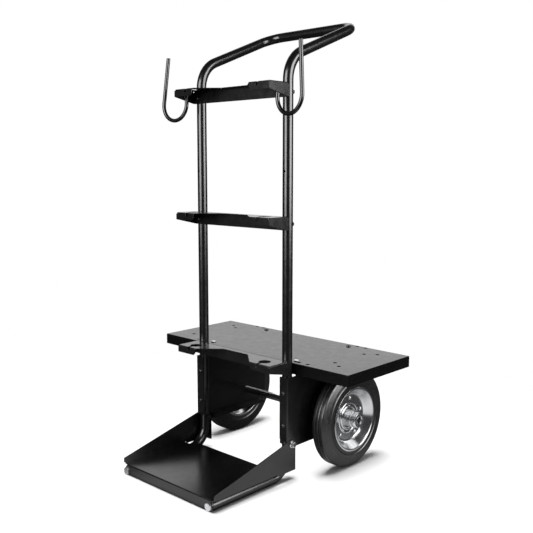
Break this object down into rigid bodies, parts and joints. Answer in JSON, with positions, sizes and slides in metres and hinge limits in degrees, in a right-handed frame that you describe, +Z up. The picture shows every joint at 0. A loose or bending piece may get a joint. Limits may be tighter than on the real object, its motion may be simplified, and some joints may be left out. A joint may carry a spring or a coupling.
{
  "type": "welding cart",
  "caption": "Two-wheeled workshop cart of bent tube with a foot tray and notched brackets for a gas cylinder, a shelf for a welding power source, cable hooks and a push handle.",
  "frame": {"origin": "centre of the footprint box, on the floor", "axes": "+Z up, front of the cart towards -Y, push handle towards +Y, +X to the right of a person facing the front"},
  "size_m": [0.65, 0.5662, 1.1298],
  "materials": {
    "black_coat": "semi-gloss black powder coat",
    "zinc": "bright zinc plate",
    "rim_zinc": "bright zinc plated pressed sheet",
    "steel": "bright drawn steel",
    "dark_fastener": "black zinc plate",
    "tyre_rubber": "moulded solid rubber with ribbed tread",
    "bronze": "sintered bronze"
  },
  "bodies": {
    "chassis": {"frame_tube_left": "black_coat", "handle_sleeve_left": "steel", "tube_insert_left": "steel", "foot_bolt_left": "zinc", "gusset_bolt_left": "dark_fastener", "gusset_nut_left": "zinc", "frame_tube_right": "black_coat", "handle_sleeve_right": "steel", "tube_insert_right": "steel", "foot_bolt_right": "zinc", "gusset_bolt_right": "dark_fastener", "gusset_nut_right": "zinc", "handle_bar": "black_coat", "foot_tray": "black_coat", "side_plate_left": "black_coat", "side_plate_screw_lower_left": "dark_fastener", "side_plate_screw_upper_left": "dark_fastener", "shelf_screw_front_left": "zinc", "shelf_screw_rear_left": "dark_fastener", "side_plate_right": "black_coat", "side_plate_screw_lower_right": "dark_fastener", "side_plate_screw_upper_right": "dark_fastener", "shelf_screw_front_right": "zinc", "shelf_screw_rear_right": "dark_fastener", "shelf_tray": "black_coat", "bracket_lower": "black_coat", "bracket_screw_lower_left": "dark_fastener", "bracket_screw_lower_right": "dark_fastener", "bracket_middle": "black_coat", "bracket_screw_middle_left": "dark_fastener", "bracket_nut_middle_left": "dark_fastener", "bracket_screw_middle_right": "dark_fastener", "bracket_nut_middle_right": "dark_fastener", "bracket_upper": "black_coat", "bracket_screw_upper_left": "dark_fastener", "bracket_nut_upper_left": "dark_fastener", "bracket_screw_upper_right": "dark_fastener", "bracket_nut_upper_right": "dark_fastener", "cable_hook_left": "black_coat", "cable_hook_right": "black_coat", "axle": "steel", "axle_spacer_left": "steel", "axle_collar_left": "zinc", "collar_set_screw_left": "steel", "axle_spacer_right": "steel", "axle_collar_right": "zinc", "collar_set_screw_right": "steel"},
    "left_wheel": {"wheel_hub_left": "zinc", "hub_bush_inner_left": "bronze", "hub_bush_outer_left": "bronze", "rim_outer_left": "rim_zinc", "rim_inner_left": "rim_zinc", "tyre_left": "tyre_rubber"},
    "right_wheel": {"wheel_hub_right": "zinc", "hub_bush_inner_right": "bronze", "hub_bush_outer_right": "bronze", "rim_outer_right": "rim_zinc", "rim_inner_right": "rim_zinc", "tyre_right": "tyre_rubber"}
  },
  "joints": [
    {"name": "left_wheel_spin", "type": "hinge", "parent": "chassis", "child": "left_wheel", "pos_m": [-0.2033, 0.1581, 0.125], "axis": [1, 0, 0], "continuous": true},
    {"name": "right_wheel_spin", "type": "hinge", "parent": "chassis", "child": "right_wheel", "pos_m": [0.2033, 0.1581, 0.125], "axis": [1, 0, 0], "continuous": true}
  ]
}
